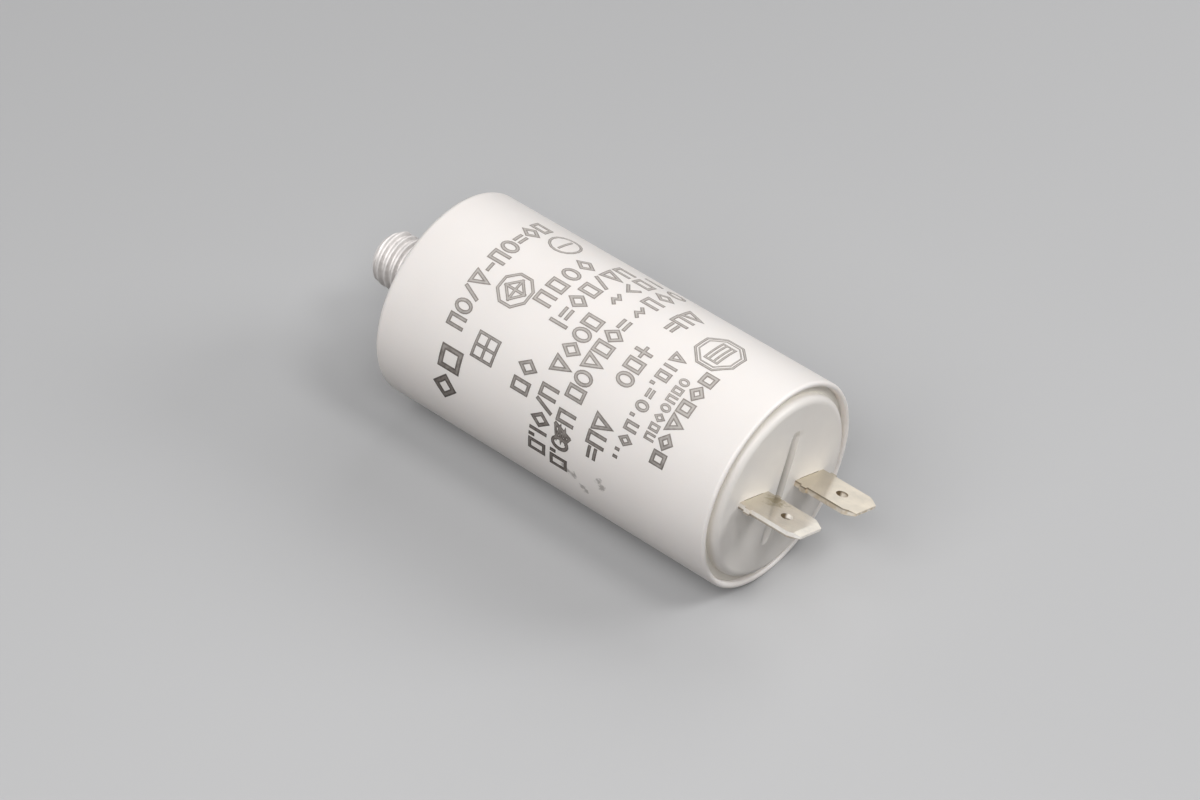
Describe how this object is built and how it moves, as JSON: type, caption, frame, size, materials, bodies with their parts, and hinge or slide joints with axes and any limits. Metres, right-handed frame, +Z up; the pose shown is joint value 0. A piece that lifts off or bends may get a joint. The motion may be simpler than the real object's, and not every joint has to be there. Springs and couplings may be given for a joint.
{
  "type": "motor run capacitor",
  "caption": "Round film capacitor in a white moulded can, with an M8 stud at its base and flat blade terminals on its lid.",
  "frame": {"origin": "middle of the can's base face, at the root of the mounting stud", "axes": "+X along the can from the stud to the terminals, +Z up as the can lies on its side, +Y to the right as seen from the terminals"},
  "size_m": [0.0781, 0.03, 0.03],
  "materials": {
    "can_plastic": "moulded, slightly glossy",
    "lid_plastic": "moulded, satin",
    "stud_metal": "zinc plated",
    "terminal_metal": "tin plated",
    "core_plastic": "moulded",
    "film": "metallised film",
    "wrap_film": "clear film over metallised film",
    "sprayed_metal": "rough zinc spray",
    "lead_metal": "tinned copper wire",
    "sleeve_plastic": "smooth",
    "solder": "satin",
    "resin": "cast"
  },
  "bodies": {
    "root": {"can": "can_plastic", "lid": "lid_plastic", "mounting_stud": "stud_metal", "terminal_left": "terminal_metal", "terminal_right": "terminal_metal", "winding_core": "core_plastic", "film_winding": "film", "winding_wrap": "wrap_film", "contact_base_end": "sprayed_metal", "contact_lid_end": "sprayed_metal", "lead_short": "lead_metal", "lead_long": "lead_metal", "lead_sleeve": "sleeve_plastic", "solder_contact_left": "solder", "solder_contact_right": "solder", "solder_terminal_left": "solder", "solder_terminal_right": "solder", "potting_resin": "resin"}
  },
  "joints": []
}
